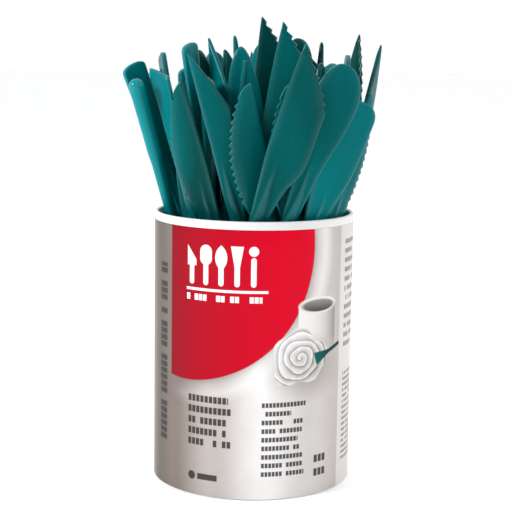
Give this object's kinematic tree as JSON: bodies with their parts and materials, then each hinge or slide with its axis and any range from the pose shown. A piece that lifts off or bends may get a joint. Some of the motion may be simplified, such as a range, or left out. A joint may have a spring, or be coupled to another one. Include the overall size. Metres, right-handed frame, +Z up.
{
  "type": "sculpting spatula set in a tub",
  "caption": "Round plastic tub with a printed wrap label, packed with loose double-ended plastic sculpting spatulas that fan out above the rim and lift out one by one.",
  "frame": {"origin": "centre of the tub's flat underside", "axes": "+Z up along the tub's axis, -Y towards the front of the label, +X to the right of someone facing the label"},
  "size_m": [0.1177, 0.1141, 0.2084],
  "materials": {
    "tub_plastic": "satin white moulding",
    "label_paper": "printed and coated, grey-beige with a red panel",
    "tool_plastic": "satin petrol-green moulding"
  },
  "bodies": {
    "tub": {"tub": "tub_plastic", "wrap_label": "label_paper"},
    "saw_knife_1": {"saw_knife_1": "tool_plastic"},
    "pear_spatula_1": {"pear_spatula_1": "tool_plastic"},
    "paddle_1": {"paddle_1": "tool_plastic"},
    "short_saw_1": {"short_saw_1": "tool_plastic"},
    "saw_knife_2": {"saw_knife_2": "tool_plastic"},
    "leaf_blade_1": {"leaf_blade_1": "tool_plastic"},
    "chisel_blade_1": {"chisel_blade_1": "tool_plastic"},
    "skew_scraper_1": {"skew_scraper_1": "tool_plastic"},
    "pear_spatula_2": {"pear_spatula_2": "tool_plastic"},
    "lancet_knife_1": {"lancet_knife_1": "tool_plastic"},
    "paddle_2": {"paddle_2": "tool_plastic"},
    "leaf_blade_2": {"leaf_blade_2": "tool_plastic"},
    "chisel_blade_2": {"chisel_blade_2": "tool_plastic"},
    "finger_stick_1": {"finger_stick_1": "tool_plastic"},
    "lancet_knife_2": {"lancet_knife_2": "tool_plastic"},
    "short_saw_2": {"short_saw_2": "tool_plastic"},
    "skew_scraper_2": {"skew_scraper_2": "tool_plastic"},
    "chisel_blade_3": {"chisel_blade_3": "tool_plastic"},
    "finger_stick_2": {"finger_stick_2": "tool_plastic"},
    "pear_spatula_3": {"pear_spatula_3": "tool_plastic"},
    "lancet_knife_3": {"lancet_knife_3": "tool_plastic"},
    "paddle_3": {"paddle_3": "tool_plastic"},
    "finger_stick_3": {"finger_stick_3": "tool_plastic"},
    "leaf_blade_3": {"leaf_blade_3": "tool_plastic"},
    "saw_knife_3": {"saw_knife_3": "tool_plastic"},
    "chisel_blade_4": {"chisel_blade_4": "tool_plastic"},
    "leaf_blade_4": {"leaf_blade_4": "tool_plastic"},
    "short_saw_3": {"short_saw_3": "tool_plastic"},
    "short_saw_4": {"short_saw_4": "tool_plastic"},
    "saw_knife_4": {"saw_knife_4": "tool_plastic"},
    "skew_scraper_3": {"skew_scraper_3": "tool_plastic"},
    "lancet_knife_4": {"lancet_knife_4": "tool_plastic"},
    "finger_stick_4": {"finger_stick_4": "tool_plastic"},
    "pear_spatula_4": {"pear_spatula_4": "tool_plastic"},
    "ball_stylus_1": {"ball_stylus_1": "tool_plastic"},
    "leaf_blade_5": {"leaf_blade_5": "tool_plastic"},
    "chisel_blade_5": {"chisel_blade_5": "tool_plastic"},
    "paddle_4": {"paddle_4": "tool_plastic"},
    "ball_stylus_2": {"ball_stylus_2": "tool_plastic"},
    "leaf_blade_6": {"leaf_blade_6": "tool_plastic"},
    "ball_stylus_3": {"ball_stylus_3": "tool_plastic"},
    "pear_spatula_5": {"pear_spatula_5": "tool_plastic"},
    "finger_stick_5": {"finger_stick_5": "tool_plastic"},
    "skew_scraper_4": {"skew_scraper_4": "tool_plastic"},
    "lancet_knife_5": {"lancet_knife_5": "tool_plastic"},
    "saw_knife_5": {"saw_knife_5": "tool_plastic"},
    "ball_stylus_4": {"ball_stylus_4": "tool_plastic"},
    "lancet_knife_6": {"lancet_knife_6": "tool_plastic"}
  },
  "joints": [
    {"name": "saw_knife_1_lift", "type": "slide", "parent": "tub", "child": "saw_knife_1", "axis": [0.2938, -0.1908, 0.9366], "range_m": [0, 0.15]},
    {"name": "pear_spatula_1_lift", "type": "slide", "parent": "tub", "child": "pear_spatula_1", "axis": [0.3414, -0.0788, 0.9366], "range_m": [0, 0.15]},
    {"name": "paddle_1_lift", "type": "slide", "parent": "tub", "child": "paddle_1", "axis": [0.3477, 0.0427, 0.9366], "range_m": [0, 0.15]},
    {"name": "short_saw_1_lift", "type": "slide", "parent": "tub", "child": "short_saw_1", "axis": [0.3122, 0.1591, 0.9366], "range_m": [0, 0.15]},
    {"name": "saw_knife_2_lift", "type": "slide", "parent": "tub", "child": "saw_knife_2", "axis": [0.2389, 0.2562, 0.9366], "range_m": [0, 0.15]},
    {"name": "leaf_blade_1_lift", "type": "slide", "parent": "tub", "child": "leaf_blade_1", "axis": [0.1369, 0.3225, 0.9366], "range_m": [0, 0.15]},
    {"name": "chisel_blade_1_lift", "type": "slide", "parent": "tub", "child": "chisel_blade_1", "axis": [0.0183, 0.3499, 0.9366], "range_m": [0, 0.15]},
    {"name": "skew_scraper_1_lift", "type": "slide", "parent": "tub", "child": "skew_scraper_1", "axis": [-0.1024, 0.3351, 0.9366], "range_m": [0, 0.15]},
    {"name": "pear_spatula_2_lift", "type": "slide", "parent": "tub", "child": "pear_spatula_2", "axis": [-0.2109, 0.2798, 0.9366], "range_m": [0, 0.15]},
    {"name": "lancet_knife_1_lift", "type": "slide", "parent": "tub", "child": "lancet_knife_1", "axis": [-0.2938, 0.1908, 0.9366], "range_m": [0, 0.15]},
    {"name": "paddle_2_lift", "type": "slide", "parent": "tub", "child": "paddle_2", "axis": [-0.3414, 0.0788, 0.9366], "range_m": [0, 0.15]},
    {"name": "leaf_blade_2_lift", "type": "slide", "parent": "tub", "child": "leaf_blade_2", "axis": [-0.3477, -0.0427, 0.9366], "range_m": [0, 0.15]},
    {"name": "chisel_blade_2_lift", "type": "slide", "parent": "tub", "child": "chisel_blade_2", "axis": [-0.3122, -0.1591, 0.9366], "range_m": [0, 0.15]},
    {"name": "finger_stick_1_lift", "type": "slide", "parent": "tub", "child": "finger_stick_1", "axis": [-0.2389, -0.2562, 0.9366], "range_m": [0, 0.15]},
    {"name": "lancet_knife_2_lift", "type": "slide", "parent": "tub", "child": "lancet_knife_2", "axis": [-0.2629, -0.1009, 0.9595], "range_m": [0, 0.15]},
    {"name": "short_saw_2_lift", "type": "slide", "parent": "tub", "child": "short_saw_2", "axis": [-0.2812, 0.0147, 0.9595], "range_m": [0, 0.15]},
    {"name": "skew_scraper_2_lift", "type": "slide", "parent": "tub", "child": "skew_scraper_2", "axis": [-0.2509, 0.1279, 0.9595], "range_m": [0, 0.15]},
    {"name": "chisel_blade_3_lift", "type": "slide", "parent": "tub", "child": "chisel_blade_3", "axis": [-0.1772, 0.2189, 0.9595], "range_m": [0, 0.15]},
    {"name": "finger_stick_2_lift", "type": "slide", "parent": "tub", "child": "finger_stick_2", "axis": [-0.0729, 0.272, 0.9595], "range_m": [0, 0.15]},
    {"name": "pear_spatula_3_lift", "type": "slide", "parent": "tub", "child": "pear_spatula_3", "axis": [0.0441, 0.2782, 0.9595], "range_m": [0, 0.15]},
    {"name": "lancet_knife_3_lift", "type": "slide", "parent": "tub", "child": "lancet_knife_3", "axis": [0.1534, 0.2362, 0.9595], "range_m": [0, 0.15]},
    {"name": "paddle_3_lift", "type": "slide", "parent": "tub", "child": "paddle_3", "axis": [0.2362, 0.1534, 0.9595], "range_m": [0, 0.15]},
    {"name": "finger_stick_3_lift", "type": "slide", "parent": "tub", "child": "finger_stick_3", "axis": [0.2782, 0.0441, 0.9595], "range_m": [0, 0.15]},
    {"name": "leaf_blade_3_lift", "type": "slide", "parent": "tub", "child": "leaf_blade_3", "axis": [0.272, -0.0729, 0.9595], "range_m": [0, 0.15]},
    {"name": "saw_knife_3_lift", "type": "slide", "parent": "tub", "child": "saw_knife_3", "axis": [0.2189, -0.1772, 0.9595], "range_m": [0, 0.15]},
    {"name": "chisel_blade_4_lift", "type": "slide", "parent": "tub", "child": "chisel_blade_4", "axis": [0.1279, -0.2509, 0.9595], "range_m": [0, 0.15]},
    {"name": "leaf_blade_4_lift", "type": "slide", "parent": "tub", "child": "leaf_blade_4", "axis": [0.0147, -0.2812, 0.9595], "range_m": [0, 0.15]},
    {"name": "short_saw_3_lift", "type": "slide", "parent": "tub", "child": "short_saw_3", "axis": [-0.1009, -0.2629, 0.9595], "range_m": [0, 0.15]},
    {"name": "short_saw_4_lift", "type": "slide", "parent": "tub", "child": "short_saw_4", "axis": [-0.1991, -0.1991, 0.9595], "range_m": [0, 0.15]},
    {"name": "saw_knife_4_lift", "type": "slide", "parent": "tub", "child": "saw_knife_4", "axis": [0.1609, -0.0716, 0.9844], "range_m": [0, 0.15]},
    {"name": "skew_scraper_3_lift", "type": "slide", "parent": "tub", "child": "skew_scraper_3", "axis": [0.1723, 0.0366, 0.9844], "range_m": [0, 0.15]},
    {"name": "lancet_knife_4_lift", "type": "slide", "parent": "tub", "child": "lancet_knife_4", "axis": [0.1179, 0.1309, 0.9844], "range_m": [0, 0.15]},
    {"name": "finger_stick_4_lift", "type": "slide", "parent": "tub", "child": "finger_stick_4", "axis": [0.0184, 0.1752, 0.9844], "range_m": [0, 0.15]},
    {"name": "pear_spatula_4_lift", "type": "slide", "parent": "tub", "child": "pear_spatula_4", "axis": [-0.0881, 0.1525, 0.9844], "range_m": [0, 0.15]},
    {"name": "ball_stylus_1_lift", "type": "slide", "parent": "tub", "child": "ball_stylus_1", "axis": [-0.1609, 0.0716, 0.9844], "range_m": [0, 0.15]},
    {"name": "leaf_blade_5_lift", "type": "slide", "parent": "tub", "child": "leaf_blade_5", "axis": [-0.1723, -0.0366, 0.9844], "range_m": [0, 0.15]},
    {"name": "chisel_blade_5_lift", "type": "slide", "parent": "tub", "child": "chisel_blade_5", "axis": [-0.1179, -0.1309, 0.9844], "range_m": [0, 0.15]},
    {"name": "paddle_4_lift", "type": "slide", "parent": "tub", "child": "paddle_4", "axis": [-0.0184, -0.1752, 0.9844], "range_m": [0, 0.15]},
    {"name": "ball_stylus_2_lift", "type": "slide", "parent": "tub", "child": "ball_stylus_2", "axis": [0.0881, -0.1525, 0.9844], "range_m": [0, 0.15]},
    {"name": "leaf_blade_6_lift", "type": "slide", "parent": "tub", "child": "leaf_blade_6", "axis": [-0.1, -0.0577, 0.9933], "range_m": [0, 0.15]},
    {"name": "ball_stylus_3_lift", "type": "slide", "parent": "tub", "child": "ball_stylus_3", "axis": [0, -0.1154, 0.9933], "range_m": [0, 0.15]},
    {"name": "pear_spatula_5_lift", "type": "slide", "parent": "tub", "child": "pear_spatula_5", "axis": [0.1, -0.0577, 0.9933], "range_m": [0, 0.15]},
    {"name": "finger_stick_5_lift", "type": "slide", "parent": "tub", "child": "finger_stick_5", "axis": [0.1, 0.0577, 0.9933], "range_m": [0, 0.15]},
    {"name": "skew_scraper_4_lift", "type": "slide", "parent": "tub", "child": "skew_scraper_4", "axis": [0, 0.1154, 0.9933], "range_m": [0, 0.15]},
    {"name": "lancet_knife_5_lift", "type": "slide", "parent": "tub", "child": "lancet_knife_5", "axis": [-0.1, 0.0577, 0.9933], "range_m": [0, 0.15]},
    {"name": "saw_knife_5_lift", "type": "slide", "parent": "tub", "child": "saw_knife_5", "axis": [0.0526, -0.0093, 0.9986], "range_m": [0, 0.15]},
    {"name": "ball_stylus_4_lift", "type": "slide", "parent": "tub", "child": "ball_stylus_4", "axis": [-0.0183, 0.0502, 0.9986], "range_m": [0, 0.15]},
    {"name": "lancet_knife_6_lift", "type": "slide", "parent": "tub", "child": "lancet_knife_6", "axis": [-0.0343, -0.0409, 0.9986], "range_m": [0, 0.15]}
  ]
}
